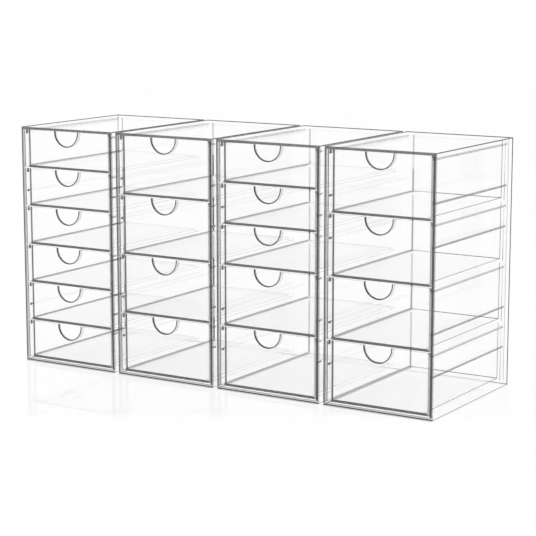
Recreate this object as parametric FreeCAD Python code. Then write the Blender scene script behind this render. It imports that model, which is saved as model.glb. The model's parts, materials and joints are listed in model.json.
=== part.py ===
import FreeCAD, Part
import os

# Four clear acrylic drawer cases that stand side by side as one dressing-table organiser.
#
# Frame: millimetres, +X along the row to the right, +Y from the drawer fronts to the backs,
# +Z up. The origin is on the surface that the cases stand on, below the middle of the row.

# ---------------------------------------------------------------------------
# Driving dimensions
# ---------------------------------------------------------------------------

# Every case is the same box of bonded sheets, open at the front.
case_width = 119.0
case_depth = 171.0
case_gap = 5.1              # air between two neighbouring cases
side_thickness = 3.1
top_thickness = 2.6
base_thickness = 3.0
back_thickness = 3.0

# Heights are counted in units, so shallow and deep drawers share one set of rails.
unit_height = 20.7
SHALLOW = 2                 # units that a shallow drawer takes
DEEP = 3                    # units that a deep drawer takes

# The drawers of each case from top to bottom, with the cases from left to right.
towers = [
    [SHALLOW] * 6,
    [DEEP] * 4,
    [SHALLOW] * 3 + [DEEP] * 2,
    [DEEP] * 4,
]

# Rails are thin strips bonded to the inner faces of both sides.
rail_reach = 2.6            # how far a rail stands out from the side
rail_thickness = 2.2
rail_front_gap = 1.0        # from the back of a closed drawer front to the rail's end
rail_rear_gap = 4.0         # from the rail's other end to the back sheet

# A drawer front is a flat panel that closes flush with the case.
front_thickness = 2.4
front_gap = 1.3             # between two fronts, one above the other
front_side_clearance = 0.4
head_clearance = 0.2        # over the topmost front

# A half-moon notch in the top edge of each front takes a thumb.
notch_radius = 14.6
notch_straight = 1.0        # straight part above the half circle

# The tray behind the front hangs by two lips that lie on the rails.
tray_wall_thickness = 2.2
tray_floor_thickness = 2.4
tray_rail_clearance = 0.9   # between the tray's walls and the tips of the rails
tray_rear_clearance = 0.6   # between the closed tray and the back sheet
lip_thickness = 2.4
lip_clearance = 0.9         # between the tips of the lips and the sides of the case

# ---------------------------------------------------------------------------
# Sizes and places that follow
# ---------------------------------------------------------------------------

units_in_case = sum(towers[0])
bay_height = units_in_case * unit_height
case_height = base_thickness + bay_height + top_thickness
bay_top = base_thickness + bay_height
case_pitch = case_width + case_gap
row_width = len(towers) * case_pitch - case_gap

front_y = -case_depth / 2
back_sheet_y = front_y + case_depth - back_thickness
tray_front_y = front_y + front_thickness
tray_depth = back_sheet_y - tray_rear_clearance - tray_front_y

tray_inset = side_thickness + rail_reach + tray_rail_clearance
tray_width = case_width - 2 * tray_inset
lip_inset = side_thickness + lip_clearance
lip_reach = tray_inset - lip_inset

rail_front_y = tray_front_y + rail_front_gap
rail_length = back_sheet_y - rail_rear_gap - rail_front_y

# A rail lies at the top of every bay that either a shallow or a deep drawer could take.
rail_units = sorted(
    {unit for step in (SHALLOW, DEEP) for unit in range(step, units_in_case + 1, step)}
)


def case_left_x(case_index):
    """Outer left face of a case, with the cases counted from the left end of the row."""
    return case_index * case_pitch - row_width / 2


def drawer_top_z(unit):
    """Top edge of the drawer that hangs in the bay below this unit mark."""
    return base_thickness + unit * unit_height - head_clearance


def drawer_height(units):
    """Height of a drawer that takes this many units."""
    return units * unit_height - front_gap


# ---------------------------------------------------------------------------
# Pieces
# ---------------------------------------------------------------------------

def sheet(x, y, z, width, depth, height):
    """A flat sheet or strip with its lowest corner at x, y, z."""
    return Part.makeBox(width, depth, height, FreeCAD.Vector(x, y, z))


def case_side(side_x, rail_x):
    """An upright side with its rails, one below each unit mark where a drawer can hang."""
    solids = [sheet(side_x, front_y, base_thickness, side_thickness, case_depth, bay_height)]
    for unit in rail_units:
        rail_z = drawer_top_z(unit) - lip_thickness - rail_thickness
        solids.append(
            sheet(rail_x, rail_front_y, rail_z, rail_reach, rail_length, rail_thickness)
        )
    return solids


def case_pieces(left_x):
    """The five sheets of one case. The top and the base reach over the ends of the sides."""
    inner_left_x = left_x + side_thickness
    inner_right_x = left_x + case_width - side_thickness
    inner_width = inner_right_x - inner_left_x
    return {
        "left_side": case_side(left_x, inner_left_x),
        "right_side": case_side(inner_right_x, inner_right_x - rail_reach),
        "top": [sheet(left_x, front_y, bay_top, case_width, case_depth, top_thickness)],
        "base": [sheet(left_x, front_y, 0, case_width, case_depth, base_thickness)],
        "back": [
            sheet(inner_left_x, back_sheet_y, base_thickness,
                  inner_width, back_thickness, bay_height)
        ],
    }


def drawer_front(left_x, bottom_z, height):
    """The flat front panel, with the thumb notch in the middle of its top edge."""
    panel_x = left_x + side_thickness + front_side_clearance
    panel_width = case_width - 2 * (side_thickness + front_side_clearance)
    panel = sheet(panel_x, front_y, bottom_z, panel_width, front_thickness, height)

    middle_x = left_x + case_width / 2
    round_z = bottom_z + height - notch_straight
    half_moon = Part.makeCylinder(
        notch_radius, front_thickness,
        FreeCAD.Vector(middle_x, front_y, round_z), FreeCAD.Vector(0, 1, 0)
    )
    mouth = sheet(middle_x - notch_radius, front_y, round_z,
                  2 * notch_radius, front_thickness, notch_radius)
    return panel.cut(half_moon).cut(mouth)


def drawer_tray(left_x, bottom_z, height):
    """Floor, two walls, back wall and two lips of the open tray behind the front."""
    tray_x = left_x + tray_inset
    tray_right_x = tray_x + tray_width
    wall_z = bottom_z + tray_floor_thickness
    wall_height = height - tray_floor_thickness
    wall_right_x = tray_right_x - tray_wall_thickness
    back_wall_x = tray_x + tray_wall_thickness
    back_wall_y = tray_front_y + tray_depth - tray_wall_thickness
    lip_z = bottom_z + height - lip_thickness

    floor = sheet(tray_x, tray_front_y, bottom_z, tray_width, tray_depth, tray_floor_thickness)
    walls = [
        sheet(wall_x, tray_front_y, wall_z, tray_wall_thickness, tray_depth, wall_height)
        for wall_x in (tray_x, wall_right_x)
    ]
    back_wall = sheet(back_wall_x, back_wall_y, wall_z,
                      wall_right_x - back_wall_x, tray_wall_thickness, wall_height)
    lips = [
        sheet(lip_x, tray_front_y, lip_z, lip_reach, tray_depth, lip_thickness)
        for lip_x in (tray_x - lip_reach, tray_right_x)
    ]
    return [floor, *walls, back_wall, *lips]


# ---------------------------------------------------------------------------
# Build and export
# ---------------------------------------------------------------------------

def export(node, solids):
    """Write one node, as a single solid or as a group of separate solids."""
    shape = solids[0] if len(solids) == 1 else Part.makeCompound(solids)
    shape.exportStep(f"parts/{node}.step")


def build_tower(case_index, drawers):
    """One case and its drawers, which hang one below the other from the top of the bay."""
    left_x = case_left_x(case_index)
    case_number = case_index + 1
    for piece, solids in case_pieces(left_x).items():
        export(f"case_{case_number}_{piece}", solids)

    unit_mark = units_in_case
    for drawer_number, units in enumerate(drawers, start=1):
        height = drawer_height(units)
        bottom_z = drawer_top_z(unit_mark) - height
        name = f"drawer_{case_number}_{drawer_number}"
        export(f"{name}_front", [drawer_front(left_x, bottom_z, height)])
        export(f"{name}_tray", drawer_tray(left_x, bottom_z, height))
        unit_mark -= units


os.makedirs("parts", exist_ok=True)
for case_index, drawers in enumerate(towers):
    build_tower(case_index, drawers)
print(f"row {row_width:.1f} x {case_depth:.1f} x {case_height:.1f} mm, "
      f"{sum(len(drawers) for drawers in towers)} drawers")
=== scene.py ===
# %% [markdown]
# # Four clear drawer cases
# The object is a row of four clear acrylic cases for make-up and jewellery. Each case is a box of
# bonded sheets that is open at the front, and its drawers hang by two lips on rails inside it.
# Clear sheet is a hard thing to show: its wide faces are hardly there, and the eye reads the
# shape from the cut ends and the corners of the sheets. So this lesson gives most of its work to
# those ends and corners, and keeps the wide faces plain.
# The first cell loads the finished construction, which fixes every size and place.

# %% Load the frame
import json
import math
import bmesh
import bpy
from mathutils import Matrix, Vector

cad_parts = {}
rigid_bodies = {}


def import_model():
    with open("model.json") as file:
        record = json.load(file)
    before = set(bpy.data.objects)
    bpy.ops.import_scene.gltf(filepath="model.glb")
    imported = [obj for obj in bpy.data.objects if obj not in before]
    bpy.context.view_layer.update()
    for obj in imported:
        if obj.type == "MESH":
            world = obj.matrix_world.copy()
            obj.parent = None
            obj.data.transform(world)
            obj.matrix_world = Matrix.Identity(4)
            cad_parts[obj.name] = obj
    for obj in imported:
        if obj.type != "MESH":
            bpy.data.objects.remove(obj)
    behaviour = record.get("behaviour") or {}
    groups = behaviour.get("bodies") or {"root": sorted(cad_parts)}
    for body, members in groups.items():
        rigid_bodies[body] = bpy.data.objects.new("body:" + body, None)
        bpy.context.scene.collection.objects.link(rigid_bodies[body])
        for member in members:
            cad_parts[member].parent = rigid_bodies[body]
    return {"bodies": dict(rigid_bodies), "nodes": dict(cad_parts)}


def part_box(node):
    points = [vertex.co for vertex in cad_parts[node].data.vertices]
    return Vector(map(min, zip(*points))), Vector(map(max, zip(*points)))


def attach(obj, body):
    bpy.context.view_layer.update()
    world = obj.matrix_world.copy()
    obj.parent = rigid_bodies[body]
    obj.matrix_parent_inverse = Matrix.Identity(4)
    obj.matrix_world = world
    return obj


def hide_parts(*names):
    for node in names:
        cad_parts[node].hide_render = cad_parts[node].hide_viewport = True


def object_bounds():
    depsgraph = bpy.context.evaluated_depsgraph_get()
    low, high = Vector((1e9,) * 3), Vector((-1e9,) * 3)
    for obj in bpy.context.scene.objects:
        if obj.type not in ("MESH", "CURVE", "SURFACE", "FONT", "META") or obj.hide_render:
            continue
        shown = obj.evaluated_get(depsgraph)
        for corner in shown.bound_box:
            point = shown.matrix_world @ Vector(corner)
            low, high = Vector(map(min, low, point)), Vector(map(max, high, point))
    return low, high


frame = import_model()
cad_low, cad_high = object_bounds()
MM = 0.001
cases = sorted({name[:len("case_1")] for name in frame["nodes"] if name.startswith("case_")})
drawers = sorted(name for name in frame["bodies"] if name.startswith("drawer_"))
print(len(cases), "cases,", len(drawers), "drawers,", len(frame["nodes"]), "nodes")

# %% [markdown]
# ## Sizes that come from the frame
# Every sheet lies square to the axes, so a node's vertices share a few coordinates along each
# axis. Read in order, those levels give each thickness, gap and inner face. Nothing is typed in
# twice, and a changed case or drawer gives changed levels.

# %% Read the levels of a node
def levels(node, axis):
    """The distinct coordinates of a node's corners along one axis, from low to high, in metres."""
    found = []
    for value in sorted(vertex.co[axis] for vertex in frame["nodes"][node].data.vertices):
        if not found or value - found[-1] > 0.01 * MM:
            found.append(value)
    return found


X, Y, Z = range(3)
print("tray of drawer_1_1, mm:", [[round(v / MM, 2) for v in levels("drawer_1_1_tray", a)]
                                  for a in (X, Y, Z)])

# %% [markdown]
# ## A small writer for geometry recipes
# The case, the tray and the front each follow a rule, so each is one geometry node tree with
# named inputs. Building trees by hand is wordy. This class keeps it short: `number`, `whole` and
# `vector` add a named input, `node` adds any node and wires its inputs, and `block` is the one
# solid that everything here is cut from, given by its low and high corners.

# %% Write recipes for geometry
class Recipe:
    """A geometry node tree with named inputs that ends in Realize Instances and Set Material."""

    def __init__(self, name):
        self.tree = bpy.data.node_groups.new(name, "GeometryNodeTree")
        self.tree.is_modifier = True
        self.tree.interface.new_socket("Geometry", in_out="OUTPUT", socket_type="NodeSocketGeometry")
        self.group = self.tree.nodes.new("NodeGroupInput")

    def _input(self, name, kind):
        self.tree.interface.new_socket(name, in_out="INPUT", socket_type=kind)
        return self.group.outputs[name]

    def number(self, name):
        return self._input(name, "NodeSocketFloat")

    def whole(self, name):
        return self._input(name, "NodeSocketInt")

    def vector(self, name):
        return self._input(name, "NodeSocketVector")

    def node(self, kind, settings=None, output=0, **values):
        """Adds a node. A value is a number, a vector, a socket or a list of sockets to join."""
        node = self.tree.nodes.new(kind)
        for key, setting in (settings or {}).items():
            setattr(node, key, setting)
        for key, value in values.items():
            socket = node.inputs[int(key[1:]) if key[1:].isdigit() else key.replace("_", " ")]
            for item in value if isinstance(value, list) else [value]:
                if isinstance(item, bpy.types.NodeSocket):
                    self.tree.links.new(item, socket)
                else:
                    socket.default_value = item
        return node.outputs[output]

    def xyz(self, x=0.0, y=0.0, z=0.0):
        return self.node("ShaderNodeCombineXYZ", X=x, Y=y, Z=z)

    def maths(self, operation, a, b):
        return self.node("ShaderNodeMath", {"operation": operation}, _0=a, _1=b)

    def add(self, a, b):
        return self.node("ShaderNodeVectorMath", {"operation": "ADD"}, _0=a, _1=b)

    def less(self, a, b):
        return self.node("ShaderNodeVectorMath", {"operation": "SUBTRACT"}, _0=a, _1=b)

    def block(self, low, high):
        """A box from its low corner to its high corner."""
        size = self.less(high, low)
        middle = self.node("ShaderNodeVectorMath", {"operation": "SCALE"},
                           _0=self.add(low, high), Scale=0.5)
        cube = self.node("GeometryNodeMeshCube", Size=size)
        return self.node("GeometryNodeTransform", Geometry=cube, Translation=middle)

    def cut(self, body, *tools):
        return self.node("GeometryNodeMeshBoolean", {"operation": "DIFFERENCE", "solver": "EXACT"},
                         _0=body, _1=list(tools))

    def fuse(self, *bodies):
        return self.node("GeometryNodeMeshBoolean", {"operation": "UNION", "solver": "EXACT"},
                         _1=list(bodies))

    def finish(self, geometry, material):
        real = self.node("GeometryNodeRealizeInstances", Geometry=geometry)
        dressed = self.node("GeometryNodeSetMaterial", Geometry=real, Material=material)
        out = self.tree.nodes.new("NodeGroupOutput")
        self.tree.links.new(dressed, out.inputs[0])
        return self.tree


def grow(name, tree, **values):
    """Runs a recipe with these sizes, and gives the plain mesh that it makes."""
    holder = bpy.data.objects.new(name + "_holder", bpy.data.meshes.new(name + "_seed"))
    bpy.context.scene.collection.objects.link(holder)
    modifier = holder.modifiers.new("recipe", "NODES")
    modifier.node_group = tree
    sockets = {item.name: item.identifier for item in tree.interface.items_tree
               if item.in_out == "INPUT"}
    for key, value in values.items():
        modifier[sockets[key.replace("_", " ")]] = value
    bpy.context.view_layer.update()
    evaluated = holder.evaluated_get(bpy.context.evaluated_depsgraph_get())
    mesh = bpy.data.meshes.new_from_object(evaluated)
    mesh.name = name
    bpy.data.objects.remove(holder)
    return mesh


# %% [markdown]
# ## A small writer for shaders
# A shader formula such as `1 - haze * 0.4` reads best as an expression. `Socket` wraps one output
# socket and overloads the operators, so the expression adds its own Math nodes, also when the
# plain number comes first. Every other node comes from one method, which sets the node's own
# settings before it wires its inputs. Colours are mixed only with Mix nodes, because a Math node
# would turn them grey. The room of the last cells is painted with the same class.

# %% Write shaders as expressions
class Socket:
    """One output of a shader node, with arithmetic."""

    def __init__(self, paint, socket):
        self.paint, self.socket = paint, socket

    def _maths(self, operation, a, b):
        return self.paint.node("ShaderNodeMath", {"operation": operation}, _0=a, _1=b)

    def __add__(self, other):
        return self._maths("ADD", self, other)

    def __sub__(self, other):
        return self._maths("SUBTRACT", self, other)

    def __rsub__(self, other):
        return self._maths("SUBTRACT", other, self)

    def __mul__(self, other):
        return self._maths("MULTIPLY", self, other)

    def __pow__(self, other):
        return self._maths("POWER", self, other)

    __radd__, __rmul__ = __add__, __mul__


class Paint:
    """A material, or a world, under construction."""

    def __init__(self, name, owner=None):
        self.owner = owner or bpy.data.materials.new(name)
        self.owner.use_nodes = True
        self.nodes = self.owner.node_tree.nodes
        self.nodes.clear()

    def node(self, kind, settings=None, output=0, **values):
        """Adds a node. A value is a number, a colour, a vector or a Socket."""
        node = self.nodes.new(kind)
        for key, setting in (settings or {}).items():
            setattr(node, key, setting)
        for key, value in values.items():
            socket = node.inputs[int(key[1:]) if key[1:].isdigit() else key.replace("_", " ")]
            if isinstance(value, Socket):
                self.owner.node_tree.links.new(value.socket, socket)
            else:
                socket.default_value = value
        return Socket(self, node.outputs[output])

    def place(self, stretch=(1, 1, 1)):
        """Object coordinates, stretched along the axes."""
        place = self.node("ShaderNodeTexCoord", output="Object")
        return self.node("ShaderNodeMapping", Vector=place, Scale=stretch)

    def noise(self, scale, detail=3.0, stretch=(1, 1, 1)):
        """Soft noise from 0 to 1, at this many features to a metre."""
        return self.node("ShaderNodeTexNoise", output="Fac", Vector=self.place(stretch),
                         Scale=scale, Detail=detail)

    def blend(self, share, first, second):
        """A colour between two colours."""
        return self.node("ShaderNodeMix", {"data_type": "RGBA"}, output=2,
                         _0=share, _6=(*first, 1), _7=(*second, 1))

    def bump(self, height, depth, strength=1.0):
        return self.node("ShaderNodeBump", Height=height, Distance=depth, Strength=strength)

    def smooth(self, value, start, end, first, last):
        """Goes from first to last, softly, while the value goes from start to end."""
        return self.node("ShaderNodeMapRange", {"interpolation_type": "SMOOTHSTEP"}, Value=value,
                         From_Min=start, From_Max=end, To_Min=first, To_Max=last)

    def finish(self, shader, output="ShaderNodeOutputMaterial"):
        out = self.nodes.new(output)
        self.owner.node_tree.links.new(shader.socket, out.inputs["Surface"])
        return self.owner


# %% [markdown]
# ## The wide faces: clear sheet
# A clean acrylic sheet lets almost everything through. What is left to see is the white room
# that it mirrors, more where it is seen edge on, and a breath of haze from wiping. Real
# refraction would have every ray bend at some forty faces here and come out as noise, so the
# sheet lets rays go straight on. Its surface is a mirror that is mostly see-through: the share
# that mirrors is the alpha, and it rises towards the edge-on view as it does on real acrylic.
# The back of a drawer's front has the most haze, so that what lies behind it shows a little
# paler than the front's own ends.

# %% Clear sheet
HEAD_ON, GRAZING = 0.015, 0.10   # share of light that a sheet mirrors, seen flat and edge on
TINT = 0.995                    # how white the mirrored room comes back


def mirrored(paint):
    """The share of light that a clear sheet mirrors, which grows as it is seen edge on."""
    edge_on = paint.node("ShaderNodeLayerWeight", output="Facing", Blend=0.5)
    return HEAD_ON + (GRAZING - HEAD_ON) * edge_on ** 5


def clear_sheet(name, haze_cover):
    paint = Paint(name)
    haze = paint.noise(14.0, detail=4.0)
    wipes = paint.noise(60.0, detail=2.0, stretch=(1.0, 0.25, 0.08))
    ripple = paint.noise(9.0, detail=1.0)
    surface = paint.node(
        "ShaderNodeBsdfPrincipled",
        Base_Color=paint.blend(haze, (TINT - 0.01,) * 3, (TINT, TINT, 1.0)),
        Metallic=1.0,
        Roughness=0.05 + wipes * 0.05,
        Alpha=haze_cover * (0.8 + haze * 0.4) + mirrored(paint),
        Normal=paint.bump(ripple, 0.02 * MM),
    )
    return paint.finish(surface)


case_clear = clear_sheet("case_clear_sheet", haze_cover=0.01)
tray_clear = clear_sheet("tray_clear_sheet", haze_cover=0.01)
front_clear = clear_sheet("front_clear_sheet", haze_cover=0.05)
front_back_clear = clear_sheet("front_back_clear_sheet", haze_cover=0.28)
print("clear sheets:", case_clear.name, tray_clear.name, front_clear.name)

# %% [markdown]
# ## The cut ends and the corners
# Looking into the cut end of a sheet, the eye looks along its whole length, and little light
# comes back: the longer the way, the darker the end. That dark is painted on each end as painted
# shade. The ends that face the front have 17 cm of sheet behind them and are nearly black, while
# the top ends of the drawers' fronts are only grey. Each sheet also has a hair of a bevel at its
# corners, painted dark as a painted reflection of the dark of the room, so that it draws a line.
# A saw leaves fine marks across a cut, so the tone and the gloss vary along the end.
# Two finishes change with the angle at which a face is seen, which Layer Weight gives as Facing.
# A tray's floor mirrors the white room when it is seen aslant, and so hides much of what lies
# behind it. The end of the tray's wall shows in that floor as a painted reflection, a dark band,
# and from above the band is nearly gone.

# %% Cut ends and corner lines
def cut_end(name, tone, cover, roughness=0.18, shine=0.5):
    """A cut end or a drawn line: how pale it is, how much it covers, and how it shines."""
    paint = Paint(name)
    drift = paint.noise(11.0, detail=2.0)
    marks = paint.noise(900.0, detail=2.0)
    surface = paint.node(
        "ShaderNodeBsdfPrincipled",
        Base_Color=paint.blend(drift, (tone * 0.8,) * 3, (tone * 1.25,) * 3),
        Roughness=roughness + marks * 0.1,
        Alpha=cover * (0.94 + drift * 0.12),
        Normal=paint.bump(marks, 0.01 * MM),
        IOR=1.49, Specular_IOR_Level=shine,
    )
    return paint.finish(surface)


def seen_aslant(name, tones, covers, turn, roughness=0.15, metallic=0.0):
    """A finish that covers more when it is seen aslant, and less when it is seen head on."""
    paint = Paint(name)
    drift = paint.noise(11.0, detail=2.0)
    slant = paint.node("ShaderNodeLayerWeight", output="Facing", Blend=0.5)
    surface = paint.node(
        "ShaderNodeBsdfPrincipled",
        Base_Color=paint.blend(drift, (tones[0],) * 3, (tones[1],) * 3),
        Metallic=metallic,
        Roughness=roughness + drift * 0.1,
        Alpha=paint.smooth(slant, *turn, *covers),
        IOR=1.49,
    )
    return paint.finish(surface)


front_end_dark = cut_end("front_end_dark", tone=0.04, cover=0.96)
front_end_grey = cut_end("front_end_grey", tone=0.12, cover=0.66)
front_end_pale = cut_end("front_end_pale", tone=0.20, cover=0.25)
top_end = cut_end("top_end", tone=0.08, cover=0.90)
rim_grey = cut_end("rim_grey", tone=0.15, cover=0.52)
joint_dark = cut_end("joint_dark", tone=0.05, cover=0.95)
joint_grey = cut_end("joint_grey", tone=0.20, cover=0.70)
panel_edge = cut_end("panel_edge", tone=0.05, cover=0.88)
end_dark = cut_end("end_dark", tone=0.06, cover=0.92)
end_pale = cut_end("end_pale", tone=0.50, cover=0.08)
corner_band = cut_end("corner_band", tone=0.03, cover=0.96)
veiled_band = cut_end("veiled_band", tone=0.06, cover=0.48)
floor_band = seen_aslant("floor_band", (0.024, 0.038), covers=(0.10, 0.96), turn=(0.40, 0.70))
floor_clear = seen_aslant("floor_clear_sheet", (0.995, 1.0), covers=(0.02, 0.45),
                          turn=(0.50, 0.80), roughness=0.55, metallic=1.0)
rail_joint = cut_end("rail_joint", tone=0.10, cover=0.74)
loaded_rail_joint = cut_end("loaded_rail_joint", tone=0.10, cover=0.52)
rail_pale = cut_end("rail_pale", tone=0.40, cover=0.05)
tick_dark = cut_end("tick_dark", tone=0.04, cover=0.92)
side_band = cut_end("side_band", tone=0.05, cover=0.90)
notch_rim = cut_end("notch_rim", tone=0.03, cover=0.97, shine=0.1)
notch_end = cut_end("notch_end", tone=0.03, cover=0.55, shine=0.1)
corner_line = cut_end("corner_line", tone=0.03, cover=0.95, roughness=0.10)
foot_line = cut_end("foot_line", tone=0.10, cover=0.50, roughness=0.10)
faint_line = cut_end("faint_line", tone=0.10, cover=0.35, roughness=0.10)
rail_faint = cut_end("rail_faint", tone=0.20, cover=0.06)
lip_grey = cut_end("lip_grey", tone=0.20, cover=0.36)
end_grey = cut_end("end_grey", tone=0.15, cover=0.42)
print("ends:", [m.name for m in (front_end_dark, end_dark, rail_joint, notch_end, corner_line)])

# %% [markdown]
# ## The case recipe
# A case is a block with its inside cut away, and two ladders of rails. Heights are counted in
# units: a shallow drawer takes two and a deep one three, and both kinds fit anywhere, so there is
# a rail at every second unit and at every third. The recipe lays one line of points for each
# kind, merges the points that coincide, and puts a rail on each. A rail stands a hair off its
# side as a closed block of its own, so the face where the two are cemented is there to be
# painted dark.

# %% Case recipe
SHALLOW_UNITS, DEEP_UNITS = 2, 3
OVERLAP = 0.5 * MM              # how far a cutter or a fused block reaches past a face


def case_recipe():
    r = Recipe("clear_case")
    low, high = r.vector("Low"), r.vector("High")
    inner_low, inner_high = r.vector("Inner Low"), r.vector("Inner High")
    rail, top_rail = r.vector("Rail Size"), r.vector("Top Rail")
    unit, units, span = r.number("Unit Height"), r.whole("Units"), r.number("Rail Span")

    shell = r.cut(r.block(low, high), r.block(inner_low, inner_high))
    ladders = [
        r.node("GeometryNodeMeshLine", Count=r.maths("DIVIDE", units, step),
               Start_Location=top_rail, Offset=r.xyz(z=r.maths("MULTIPLY", unit, -step)))
        for step in (SHALLOW_UNITS, DEEP_UNITS)
    ]
    points = r.node("GeometryNodeMergeByDistance",
                    Geometry=r.node("GeometryNodeJoinGeometry", Geometry=ladders),
                    Distance=0.1 * MM)
    strip = r.node("GeometryNodeMeshCube", Size=rail)
    left = r.node("GeometryNodeInstanceOnPoints", Points=points, Instance=strip)
    right = r.node("GeometryNodeTransform", Geometry=left, Translation=r.xyz(x=span))
    rails = r.node("GeometryNodeRealizeInstances",
                   Geometry=r.node("GeometryNodeJoinGeometry", Geometry=[left, right]))
    return r.finish(r.node("GeometryNodeJoinGeometry", Geometry=[shell, rails]), case_clear)


case_tree = case_recipe()
print("case recipe:", len(case_tree.nodes), "nodes")

# %% [markdown]
# ## The tray and the front
# A tray is a block with its inside cut away, open above and towards the front, with a lip fused
# along the top of each wall. The front is a flat panel, and a half-moon is cut from its top edge:
# a round cutter for the bow and a square one for the short straight part above it.

# %% Tray and front recipes
NOTCH_SIDES = 96


def tray_recipe():
    r = Recipe("hanging_tray")
    low, high = r.vector("Low"), r.vector("High")
    inner_low, inner_high = r.vector("Inner Low"), r.vector("Inner High")
    left_low, left_high = r.vector("Left Lip Low"), r.vector("Left Lip High")
    right_low, right_high = r.vector("Right Lip Low"), r.vector("Right Lip High")
    tray = r.cut(r.block(low, high), r.block(inner_low, inner_high))
    fused = r.fuse(tray, r.block(left_low, left_high), r.block(right_low, right_high))
    return r.finish(fused, tray_clear)


def front_recipe():
    r = Recipe("notched_front")
    low, high = r.vector("Low"), r.vector("High")
    mouth_low, mouth_high = r.vector("Mouth Low"), r.vector("Mouth High")
    centre, radius, depth = r.vector("Notch Centre"), r.number("Notch Radius"), r.number("Notch Depth")
    disc = r.node("GeometryNodeMeshCylinder", Vertices=NOTCH_SIDES, Radius=radius, Depth=depth)
    bow = r.node("GeometryNodeTransform", Geometry=disc, Translation=centre,
                 Rotation=(math.pi / 2, 0, 0))
    cutter = r.fuse(bow, r.block(mouth_low, mouth_high))
    return r.finish(r.cut(r.block(low, high), cutter), front_clear)


tray_tree, front_tree = tray_recipe(), front_recipe()
print("tray recipe:", len(tray_tree.nodes), "nodes; front recipe:", len(front_tree.nodes), "nodes")

# %% [markdown]
# ## From a plain mesh to a dressed piece
# Every face of a piece is either a wide face or a cut end, and some finishes cover only a band
# of a face, such as the line along an outer edge of a case. `cuts` splits flat faces along such
# bands without changing the shape, and a rule gives each face its finish. Other corners take
# their line from a narrow bevel with a square profile, which keeps the corner and only adds a
# strip on either side of it.

# %% Dress a piece
LINE = 0.6 * MM                 # width of a corner line along each of its two faces
OUTER_LINE = 1.0 * MM           # the same along the outer edges of a case
LONG = 20 * MM                  # an edge longer than this runs along a whole sheet
CEMENT = 0.05 * MM              # hair of a gap between two sheets that are cemented
HAIR = 0.1 * MM                 # two planes nearer than this are the same plane


def facing(face, axis, way):
    return face.normal[axis] * way > 0.9


def dress(mesh, finishes, cuts, rule, line_of, line=LINE):
    """Splits faces into bands, gives each its finish, and draws lines along the corners.

    line_of gives a corner's finish, or None for a corner without a line."""
    mesh.materials.clear()
    for finish in finishes:
        mesh.materials.append(finish)
    edit = bmesh.new()
    edit.from_mesh(mesh)
    bmesh.ops.remove_doubles(edit, verts=edit.verts, dist=0.005 * MM)
    bmesh.ops.dissolve_limit(edit, verts=edit.verts, edges=edit.edges, angle_limit=0.01)
    for axis, way, across, value in cuts:
        faces = [face for face in edit.faces if facing(face, axis, way)]
        parts = {part for face in faces for part in (face, *face.edges, *face.verts)}
        plane = Vector([float(k == across) for k in range(3)])
        bmesh.ops.bisect_plane(edit, geom=list(parts), dist=1e-7,
                               plane_co=plane * value, plane_no=plane)
    for face in edit.faces:
        face.material_index = finishes.index(rule(face, face.calc_center_median()))
    corners = [edge for edge in edit.edges if edge.calc_face_angle(0.0) > math.radians(30)]
    lined = [(edge, line_of(edge.verts[0].co, edge.verts[1].co)) for edge in corners]
    for finish in {finish.name: finish for _, finish in lined if finish}.values():
        chosen = [edge for edge, its in lined if its == finish and edge.is_valid]
        bmesh.ops.bevel(edit, geom=chosen, offset=line, offset_type="OFFSET", segments=2,
                        profile=1.0, affect="EDGES", clamp_overlap=False,
                        material=finishes.index(finish))
    open_edges = sum(1 for edge in edit.edges if len(edge.link_faces) != 2)
    edit.to_mesh(mesh)
    edit.free()
    return open_edges


def edge_cuts(low, high, width):
    """Cuts every outer face of a box along its edges, at this width from them."""
    return [(axis, way, across, value) for axis in (X, Y, Z) for way in (-1, 1)
            for across in (X, Y, Z) if across != axis
            for value in (low[across] + width, high[across] - width)]


def at_outer_edge(face, centre, low, high, width):
    """Whether a band of an outer face runs along one of the box's edges."""
    for axis in (X, Y, Z):
        for way, limit in ((-1, low), (1, high)):
            if facing(face, axis, way) and abs(centre[axis] - limit[axis]) < HAIR:
                return any(min(centre[k] - low[k], high[k] - centre[k]) < width
                           for k in (X, Y, Z) if k != axis)
    return False


def make_piece(name, mesh, body, nodes):
    """A finished piece that stands for these nodes and moves with this body."""
    piece = bpy.data.objects.new(name, mesh)
    bpy.context.scene.collection.objects.link(piece)
    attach(piece, body)
    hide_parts(*nodes)
    return piece


# %% [markdown]
# ## The four cases
# The levels of a case's own nodes give its sheets, and the levels of its left side give the
# rails. Neighbouring rails are never less than one unit apart, so the smallest step between them
# is the unit itself. The front end of a sheet is dark along its outside and paler towards the
# inside. The right side of the last case stands free, so its back and foot have full lines. In
# the first three cases the sheets of the next one veil them, so there they are faint or left out.

# %% Make the cases
# Bands of the front ends, from the outside of the case inwards: dark, then pale or grey.
DARK_LEFT, DARK_TOP, DARK_BASE, GREY_BASE = 1.3 * MM, 2.6 * MM, 1.4 * MM, 1.9 * MM
PALE_RIGHT = 0.8 * MM
RIM = 1.2 * MM                  # grey strip that runs round the front edge of the right side
NEAR = 7.0 * MM                 # the part of a rail that shows beside the front


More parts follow.
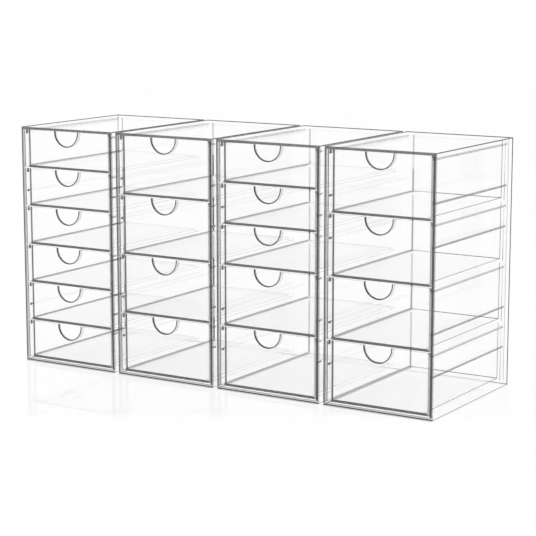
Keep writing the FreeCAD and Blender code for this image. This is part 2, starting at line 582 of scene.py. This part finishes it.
def make_case(case):
    side_x, side_y = levels(case + "_left_side", X), levels(case + "_left_side", Y)
    side_z = levels(case + "_left_side", Z)
    low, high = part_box(case + "_base")[0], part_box(case + "_top")[1]
    _, inner_x, tip_x = side_x
    front_y, rail_front_y, rail_back_y, _ = side_y
    floor_z, rail_edges, ceiling_z = side_z[0], side_z[1:-1], side_z[-1]
    right_x = high.x - (inner_x - low.x)
    back_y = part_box(case + "_back")[0].y

    rail_tops = rail_edges[1::2]
    unit = min(b - a for a, b in zip(rail_tops, rail_tops[1:]))
    reach, thickness = tip_x - inner_x, rail_edges[1] - rail_edges[0]
    left_rail_x = inner_x + (reach + CEMENT) / 2
    right_rail_x = high.x - (left_rail_x - low.x)
    mesh = grow(
        case + "_shell", case_tree,
        Low=low, High=high,
        Inner_Low=(inner_x, front_y - OVERLAP, floor_z),
        Inner_High=(right_x, back_y, ceiling_z),
        Rail_Size=(reach - CEMENT, rail_back_y - rail_front_y, thickness),
        Top_Rail=(left_rail_x, (rail_front_y + rail_back_y) / 2, rail_tops[-1] - thickness / 2),
        Unit_Height=unit, Units=round((ceiling_z - floor_z) / unit),
        Rail_Span=right_rail_x - left_rail_x,
    )
    last = case == cases[-1]
    carrying = [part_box(drawer + "_tray")[1].z - (levels(drawer + "_tray", Z)[3]
                - levels(drawer + "_tray", Z)[2]) for drawer in drawers
                if drawer.startswith("drawer_" + case[-1])]

    def front_end(centre):
        if centre.z > high.z - DARK_TOP:
            return top_end
        if centre.z < low.z + DARK_BASE:
            return front_end_dark
        if centre.z < floor_z:
            return front_end_pale if centre.z < low.z + GREY_BASE else front_end_grey
        if centre.x < inner_x:
            return front_end_dark if centre.x < low.x + DARK_LEFT else front_end_grey
        return rim_grey if centre.x > high.x - PALE_RIGHT else front_end_dark

    def rail_finish(face, centre, from_side):
        """Dark where the rail is cemented to the side and at its front end, else clear."""
        if from_side > 2 * CEMENT:
            return tick_dark if facing(face, Y, -1) else rail_pale
        if centre.y > rail_front_y + NEAR and (centre.x < inner_x + MM or not last):
            return rail_faint
        # A rail that carries a drawer's lip is painted paler: painted light for the light that reaches
        # it through the lip.
        loaded = any(top - 1.5 * thickness < centre.z < top + HAIR for top in carrying)
        return loaded_rail_joint if loaded else rail_joint

    def rule(face, centre):
        if facing(face, Y, -1) and centre.y < front_y + HAIR:
            return front_end(centre)
        from_side = min(centre.x - inner_x, right_x - centre.x)
        if from_side > CEMENT / 2 and rail_front_y - HAIR < centre.y < back_y - MM \
                and floor_z + MM < centre.z < ceiling_z - MM:
            return rail_finish(face, centre, from_side)
        if at_outer_edge(face, centre, low, high, OUTER_LINE):
            if centre.z < low.z + OUTER_LINE:
                return foot_line if last else faint_line
            upright = floor_z < centre.z < ceiling_z and centre.y > high.y - OUTER_LINE
            if upright and centre.x < low.x + OUTER_LINE:
                return foot_line if case == cases[0] else case_clear
            if upright and not last:
                return case_clear
            return rim_grey if facing(face, X, 1) and centre.y < front_y + RIM else corner_line
        if facing(face, X, 1) and centre.x > high.x - HAIR and centre.y < front_y + RIM:
            return rim_grey
        return case_clear

    def line_of(a, b):
        """A line along the inner corner at the back right, where no other case veils it."""
        upright = abs(a.z - b.z) > LONG
        at_back = min(a.y, b.y) > back_y - HAIR
        at_right = right_x - HAIR < min(a.x, b.x) and max(a.x, b.x) < high.x - HAIR
        return foot_line if last and upright and at_back and at_right else None

    cuts = [(Y, -1, X, low.x + DARK_LEFT), (Y, -1, X, inner_x), (Y, -1, X, right_x),
            (Y, -1, X, high.x - PALE_RIGHT), (Y, -1, Z, low.z + DARK_BASE),
            (Y, -1, Z, low.z + GREY_BASE), (Y, -1, Z, floor_z), (Y, -1, Z, high.z - DARK_TOP),
            (X, 1, Y, front_y + RIM), (X, 1, Y, rail_front_y + NEAR),
            (X, -1, Y, rail_front_y + NEAR)]
    cuts += edge_cuts(low, high, OUTER_LINE)
    finishes = [case_clear, front_end_dark, front_end_grey, front_end_pale, top_end,
                rim_grey, rail_joint, loaded_rail_joint, rail_pale, rail_faint, tick_dark,
                corner_line, foot_line, faint_line]
    gaps = dress(mesh, finishes, cuts, rule, line_of)
    nodes = [f"{case}_{part}" for part in ("left_side", "right_side", "top", "base", "back")]
    print(case, len(mesh.polygons), "faces,", gaps, "open edges")
    return make_piece(case + "_shell", mesh, "cases", nodes)


for case in cases:
    make_case(case)

# %% [markdown]
# ## The drawers
# Each drawer is two pieces on one body: the tray and the front that closes it. Front and tray
# are cemented, and the joint shows through the front as the boldest line of the whole object.
# A hair of a gap keeps the two surfaces from lying in one plane. The ends of the tray's sheets
# also show as images in the sheets beside them, and these are painted reflections, dark bands: a
# band on the floor along the left wall, a thin one low on that wall, and an upright one on the
# back. In a topmost drawer the upper part of the upright one is painted paler, because the top
# sheet of the case lies over it.

# %% Make the drawers
JOINT_WIDTH = 2.1 * MM          # width of the upright line that the joint draws
JOINT_HEIGHT = 2.1 * MM         # height of the lying line that the joint draws
JOINT_INSET = 1.2 * MM          # how far the upright line lies inside the tray's outer face
MARGIN_WIDTH = 3.1 * MM         # grey margin along the right end of a front
EDGE_BAND = (0.1 * MM, 1.3 * MM)   # dark band along the left end of a front
NOTCH_LINE = 1.0 * MM           # dark line round the notch
FLOOR_BAND = 5.2 * MM           # dark band on the tray's floor along its left wall
WALL_BAND = 0.6 * MM            # dark band low on the inside of that wall
END_BAND = 1.5 * MM             # dark band low on the tray's left side, where its floor ends
BACK_BAND = (0.8 * MM, 2.8 * MM)   # dark band on the tray's back, from its left wall
TOP_VEIL = 35.0 * MM            # upper part of that band in a topmost drawer, which is paler


def make_tray(drawer):
    node = drawer + "_tray"
    lip_left, left, left_in, right_in, right, lip_right = levels(node, X)
    front_y, back_in, back_y = levels(node, Y)
    bottom, floor_top, lip_bottom, top = levels(node, Z)
    front_y += CEMENT
    last = drawer.startswith("drawer_" + cases[-1][-1])
    topmost = drawer.endswith("_1")
    mesh = grow(
        node + "_clear", tray_tree,
        Low=(left, front_y, bottom), High=(right, back_y, top),
        Inner_Low=(left_in, front_y - OVERLAP, floor_top),
        Inner_High=(right_in, back_in, top + OVERLAP),
        Left_Lip_Low=(lip_left, front_y, lip_bottom),
        Left_Lip_High=(left + OVERLAP, back_y, top),
        Right_Lip_Low=(right - OVERLAP, front_y, lip_bottom),
        Right_Lip_High=(lip_right, back_y, top),
    )

    def rule(face, centre):
        if facing(face, Y, -1) and centre.y < front_y + HAIR:
            return tick_dark if centre.x < left or centre.x > right else end_pale
        if facing(face, X, -1) and centre.x < left + HAIR and centre.z < bottom + END_BAND:
            return side_band
        if facing(face, X, -1) and centre.x < left - HAIR and topmost:
            return lip_grey
        on_floor = facing(face, Z, 1) and abs(centre.z - floor_top) < HAIR
        on_back = facing(face, Y, -1) and abs(centre.y - back_in) < HAIR
        on_wall = facing(face, X, 1) and abs(centre.x - left_in) < HAIR
        # Painted reflections of the left wall's cut end: a dark band on the floor, a thin one low on
        # the wall, an upright one on the back.
        if on_floor:
            return floor_band if centre.x < left_in + FLOOR_BAND else floor_clear
        if on_wall and centre.z < floor_top + WALL_BAND:
            return corner_band
        if on_back and BACK_BAND[0] < centre.x - left_in < BACK_BAND[1]:
            return veiled_band if topmost and centre.z > top - TOP_VEIL else corner_band
        return tray_clear

    def line_of(a, b):
        on_lip = not left - HAIR < (a.x + b.x) / 2 < right + HAIR
        in_front = max(a.y, b.y) < front_y + HAIR
        on_top = min(a.z, b.z) > lip_bottom - HAIR
        upright = abs(a.z - b.z) > LONG
        veiled = upright and (not last or min(a.x, b.x) < left_in + HAIR)
        along_left = abs(a.y - b.y) > LONG and max(a.x, b.x) < left_in + HAIR
        if on_lip or in_front or on_top or veiled or along_left:
            return None
        if not last:
            return faint_line
        return foot_line if max(a.z, b.z) < bottom + HAIR else corner_line

    cuts = [(X, -1, Z, bottom + END_BAND), (Y, -1, X, left), (Y, -1, X, right),
            (Z, 1, X, left_in + FLOOR_BAND), (X, 1, Z, floor_top + WALL_BAND),
            (Y, -1, X, left_in + BACK_BAND[0]), (Y, -1, X, left_in + BACK_BAND[1])]
    if topmost:
        cuts.append((Y, -1, Z, top - TOP_VEIL))
    finishes = [tray_clear, side_band, lip_grey, tick_dark, end_pale, corner_band, veiled_band,
                floor_band, floor_clear, corner_line, foot_line, faint_line]
    gaps = dress(mesh, finishes, cuts, rule, line_of)
    if gaps:
        print(node, "has", gaps, "open edges")
    return make_piece(node + "_clear", mesh, drawer, [node])


def make_front(drawer):
    node = drawer + "_front"
    low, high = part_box(node)
    tray_left = levels(drawer + "_tray", X)[1]
    rim = [vertex.co.x for vertex in frame["nodes"][node].data.vertices
           if vertex.co.z > high.z - 0.01 * MM and low.x + MM < vertex.co.x < high.x - MM]
    radius, middle = (max(rim) - min(rim)) / 2, (max(rim) + min(rim)) / 2
    bow_bottom = min(vertex.co.z for vertex in frame["nodes"][node].data.vertices
                     if abs(vertex.co.x - middle) < radius)
    bow_z = bow_bottom + radius
    mesh = grow(
        node + "_clear", front_tree, Low=low, High=high,
        Mouth_Low=(middle - radius, low.y - OVERLAP, bow_z),
        Mouth_High=(middle + radius, high.y + OVERLAP, high.z + OVERLAP),
        Notch_Centre=(middle, (low.y + high.y) / 2, bow_z),
        Notch_Radius=radius, Notch_Depth=high.y - low.y + 2 * OVERLAP,
    )
    joint_left, joint_right = tray_left + JOINT_INSET, tray_left + JOINT_INSET + JOINT_WIDTH
    joint_top, margin = low.z + JOINT_HEIGHT, high.x - MARGIN_WIDTH

    def rule(face, centre):
        if facing(face, Y, -1):
            at_edge = EDGE_BAND[0] < centre.x - low.x < EDGE_BAND[1]
            return panel_edge if at_edge else front_clear
        if facing(face, Y, 1):
            if centre.x > margin:
                return joint_grey
            if centre.x > joint_left and (centre.x < joint_right or centre.z < joint_top):
                return joint_dark
            return front_back_clear if centre.x > joint_right else front_clear
        if abs(centre.x - middle) < radius + HAIR and centre.z > low.z + MM:
            return notch_end
        if facing(face, Z, 1):
            return end_grey
        return end_dark if facing(face, Z, -1) else end_pale

    def line_of(a, b):
        in_notch = max(abs(a.x - middle), abs(b.x - middle)) < radius + HAIR
        in_front = max(a.y, b.y) < low.y + HAIR
        return notch_rim if in_notch and in_front and min(a.z, b.z) > low.z + MM else None

    cuts = [(Y, 1, X, joint_left), (Y, 1, X, joint_right), (Y, 1, X, margin),
            (Y, 1, Z, joint_top), (Y, -1, X, low.x + EDGE_BAND[0]),
            (Y, -1, X, low.x + EDGE_BAND[1])]
    finishes = [front_clear, front_back_clear, joint_dark, joint_grey, panel_edge, notch_rim,
                notch_end, end_dark, end_grey, end_pale]
    gaps = dress(mesh, finishes, cuts, rule, line_of, line=NOTCH_LINE)
    if gaps:
        print(node, "has", gaps, "open edges")
    return make_piece(node + "_clear", mesh, drawer, [node])


tray_pieces = [make_tray(drawer) for drawer in drawers]
front_pieces = [make_front(drawer) for drawer in drawers]
print(len(tray_pieces), "trays and", len(front_pieces), "fronts")

# %% [markdown]
# ## The floor and the room
# The row stands on a white glossy floor in a white room. Rays from the camera, from mirrors and
# through glass meet plain white, so that the edges alone draw the object, while the lamps stay
# at a plain level. The floor keeps a trace of the shadow, and near the row it mirrors it faintly.
# The mirror image fades towards the front right and ends level with the front corner of the last
# case. Clear sheets cast next to no shadow and would seem to float, so a soft painted contact
# shadow, a dark band on the floor, runs round the foot of each case and holds it to the floor.

# %% Floor, room and lamps
FLOOR_SIZE = 8.0
FLOOR_DROP = 0.1 * MM           # under the cases' undersides, so the two never share a plane
WHITE_SHARE = 0.94              # the rest of what the camera sees is the floor as the lamps light it
MIRROR_SHARE = 0.11
MIRROR_FADE = 0.04              # metres over which the mirror image fades
TOWARDS_FRONT = (0.527, -0.850)   # direction on the floor, away from the row
CONTACT_SHARE, CONTACT_REACH = 0.45, 5.0 * MM   # contact shadow round the foot of the cases


def seen_directly(paint):
    """One for rays from the camera, from mirrors and through glass, and zero for light."""
    rays = [paint.node("ShaderNodeLightPath", output=name)
            for name in ("Is Camera Ray", "Is Glossy Ray", "Is Transmission Ray")]
    return rays[0] + rays[1] + rays[2]


def mirror_reach(x, y):
    """How far a point lies towards the front right, which is where the gloss of the floor ends."""
    return x * TOWARDS_FRONT[0] + y * TOWARDS_FRONT[1]


def distance(value):
    return value.paint.node("ShaderNodeMath", {"operation": "ABSOLUTE"}, _0=value)


def maximum(a, b):
    return a.paint.node("ShaderNodeMath", {"operation": "MAXIMUM"}, _0=a, _1=b)


def floor_material():
    paint = Paint("white_satin_floor")
    direct = seen_directly(paint)
    lit = paint.node("ShaderNodeBsdfDiffuse", Color=(0.92, 0.92, 0.92, 1))
    white = paint.node("ShaderNodeEmission", Color=(1, 1, 1, 1), Strength=1.0)
    plain = paint.node("ShaderNodeMixShader", _0=direct * WHITE_SHARE, _1=lit, _2=white)
    place = paint.node("ShaderNodeTexCoord", output="Object")
    x = paint.node("ShaderNodeSeparateXYZ", Vector=place, output="X")
    y = paint.node("ShaderNodeSeparateXYZ", Vector=place, output="Y")
    corner_reach = mirror_reach(cad_high.x, cad_low.y)
    fade = paint.smooth(mirror_reach(x, y), corner_reach - MIRROR_FADE, corner_reach, 1.0, 0.0)
    mirror = paint.node("ShaderNodeBsdfGlossy", Color=(1, 1, 1, 1), Roughness=0.0)
    shiny = paint.node("ShaderNodeMixShader", _0=fade * MIRROR_SHARE, _1=plain, _2=mirror)
    outside = maximum(distance(x) - cad_high.x, distance(y) - cad_high.y)
    near = paint.smooth(outside, 0.0, CONTACT_REACH, 1.0, 0.0)
    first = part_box("case_1_base")
    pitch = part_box("case_2_base")[0].x - first[0].x
    along = paint.node("ShaderNodeMath", {"operation": "MODULO"}, _0=x - first[0].x + pitch,
                       _1=pitch)
    under_case = paint.node("ShaderNodeMath", {"operation": "LESS_THAN"}, _0=along,
                            _1=first[1].x - first[0].x)
    beside = paint.node("ShaderNodeMath", {"operation": "GREATER_THAN"}, _0=outside, _1=-HAIR)
    # Painted contact shadow: a dark emission mixed over the floor in a soft band round each case's
    # foot.
    shade = paint.node("ShaderNodeEmission", Color=(0.08, 0.08, 0.08, 1), Strength=1.0)
    contact = near * beside * under_case * CONTACT_SHARE
    return paint.finish(paint.node("ShaderNodeMixShader", _0=contact, _1=shiny, _2=shade))


floor_mesh = bpy.data.meshes.new("floor")
half = FLOOR_SIZE / 2
floor_mesh.from_pydata([(-half, -half, -FLOOR_DROP), (half, -half, -FLOOR_DROP),
                        (half, half, -FLOOR_DROP), (-half, half, -FLOOR_DROP)], [], [(0, 1, 2, 3)])
floor_mesh.materials.append(floor_material())
floor = bpy.data.objects.new("floor", floor_mesh)
bpy.context.scene.collection.objects.link(floor)

paint = Paint("white_room", bpy.data.worlds.new("white_room"))
light = paint.node("ShaderNodeBackground", Color=(1, 1, 1, 1), Strength=0.9)
white = paint.node("ShaderNodeBackground", Color=(1, 1, 1, 1), Strength=1.0)
room = paint.node("ShaderNodeMixShader", _0=seen_directly(paint), _1=light, _2=white)
bpy.context.scene.world = paint.finish(room, "ShaderNodeOutputWorld")


def lamp(name, place, target, size, power):
    data = bpy.data.lights.new(name, "AREA")
    data.shape, data.size, data.energy = "DISK", size, power
    light = bpy.data.objects.new(name, data)
    light.location = place
    light.rotation_euler = (Vector(target) - Vector(place)).to_track_quat("-Z", "Y").to_euler()
    bpy.context.scene.collection.objects.link(light)


lamp("key_lamp", (-1.2, -1.6, 1.8), (0, 0, 0.1), 1.2, 12)
lamp("fill_lamp", (1.8, -0.6, 1.2), (0, 0, 0.1), 1.4, 6)
print("floor, room and lamps are in place")

# %% [markdown]
# ## The camera
# The row is seen from the front right, a little above its top, through a long lens, so the
# fronts of the cases stay nearly parallel and the right side of the last case shows too.
# Rays cross up to forty sheet faces behind each other, so the renderer is allowed to let them
# through far more faces than it does as a rule.

# %% Camera
camera_data = bpy.data.cameras.new("camera")
camera_data.lens, camera_data.sensor_width = 117.34, 36.0
camera = bpy.data.objects.new("camera", camera_data)
bpy.context.scene.collection.objects.link(camera)
turn, tilt = math.radians(31.831), math.radians(10.052)
camera.location = (0.9566, -1.5249, 0.4302)
aim = Vector((-math.sin(turn) * math.cos(tilt), math.cos(turn) * math.cos(tilt), -math.sin(tilt)))
camera.rotation_euler = aim.to_track_quat("-Z", "Y").to_euler()
bpy.context.scene.camera = camera
bpy.context.scene.view_settings.view_transform = "Standard"
bpy.context.scene.cycles.transparent_max_bounces = 96
print("camera at", [round(v, 3) for v in camera.location])

# %% [markdown]
# ## Sizes
# The box of the construction is printed. The dressed model has to stay in the box of the
# construction.

# %% Print the box of the construction
print("cad", [round(v, 4) for v in (*cad_low, *cad_high)])
